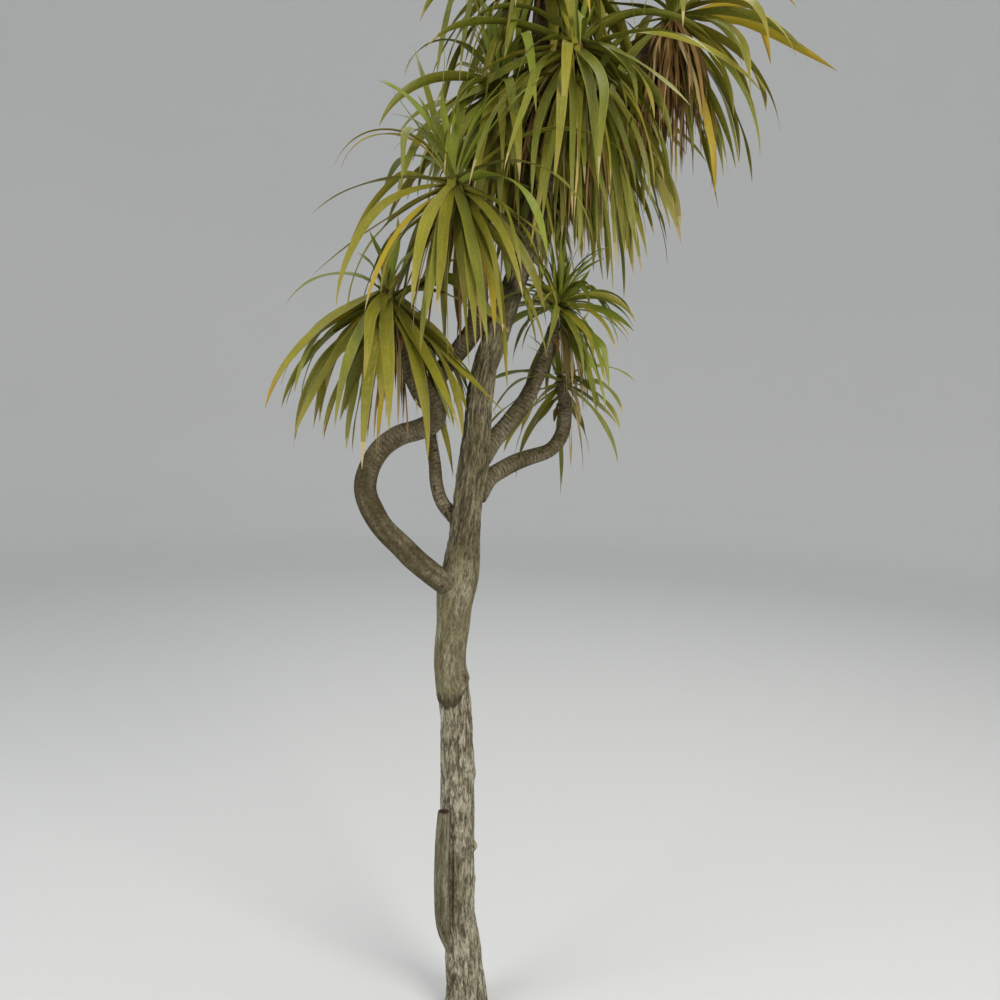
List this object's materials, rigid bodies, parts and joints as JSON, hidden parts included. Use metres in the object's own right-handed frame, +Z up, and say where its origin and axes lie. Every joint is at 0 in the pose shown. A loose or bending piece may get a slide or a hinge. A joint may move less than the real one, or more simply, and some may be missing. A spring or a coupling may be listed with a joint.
{
  "type": "dragon blood tree",
  "caption": "Slender dragon blood tree rooted in the ground, with a leaning bark-covered trunk, bent boughs and drooping heads of long strap leaves.",
  "frame": {"origin": "middle of the flat cut under the trunk, at ground level", "axes": "+Z up along the tree, +X to the right of the side seen in the picture, +Y away from it"},
  "size_m": [1.2931, 1.0894, 2.8694],
  "materials": {
    "old_bark": "rough pale grey bark, fissured up and down with brown",
    "bough_bark": "smoother brownish grey bark with fine crosswise leaf scars",
    "hanging_leaves": "yellowish green strap leaves with a soft gloss",
    "young_leaves": "fresh green strap leaves with a soft gloss"
  },
  "bodies": {
    "root": {"trunk": "old_bark", "old_side_stem": "old_bark", "left_bough_lower": "bough_bark", "left_bough_bend": "bough_bark", "left_bough_upper": "bough_bark", "thin_left_bough": "bough_bark", "right_bough": "bough_bark", "low_right_bough_base": "bough_bark", "low_right_bough_tip": "bough_bark", "upper_stem": "old_bark", "top_left_bough": "bough_bark", "top_middle_bough": "bough_bark", "top_right_bough": "bough_bark", "back_left_bough": "bough_bark", "back_right_bough": "bough_bark", "summit_bough": "bough_bark", "left_head_tuft": "young_leaves", "left_head_skirt_1": "hanging_leaves", "left_head_skirt_2": "hanging_leaves", "left_head_skirt_3": "hanging_leaves", "centre_head_tuft": "young_leaves", "centre_head_skirt_1": "hanging_leaves", "centre_head_skirt_2": "hanging_leaves", "centre_head_skirt_3": "hanging_leaves", "right_head_tuft": "young_leaves", "right_head_skirt_1": "hanging_leaves", "right_head_skirt_2": "hanging_leaves", "right_head_skirt_3": "hanging_leaves", "low_right_head_tuft": "young_leaves", "low_right_head_skirt_1": "hanging_leaves", "low_right_head_skirt_2": "hanging_leaves", "low_right_head_skirt_3": "hanging_leaves", "top_left_head_tuft": "young_leaves", "top_left_head_skirt_1": "hanging_leaves", "top_left_head_skirt_2": "hanging_leaves", "top_left_head_skirt_3": "hanging_leaves", "top_middle_head_tuft": "young_leaves", "top_middle_head_skirt_1": "hanging_leaves", "top_middle_head_skirt_2": "hanging_leaves", "top_right_head_tuft": "young_leaves", "top_right_head_skirt_1": "hanging_leaves", "top_right_head_skirt_2": "hanging_leaves", "back_left_head_tuft": "young_leaves", "back_left_head_skirt_1": "hanging_leaves", "back_left_head_skirt_2": "hanging_leaves", "back_left_head_skirt_3": "hanging_leaves", "back_right_head_tuft": "young_leaves", "back_right_head_skirt_1": "hanging_leaves", "back_right_head_skirt_2": "hanging_leaves", "summit_head_tuft": "young_leaves", "summit_head_skirt_1": "hanging_leaves", "summit_head_skirt_2": "hanging_leaves"}
  },
  "joints": []
}
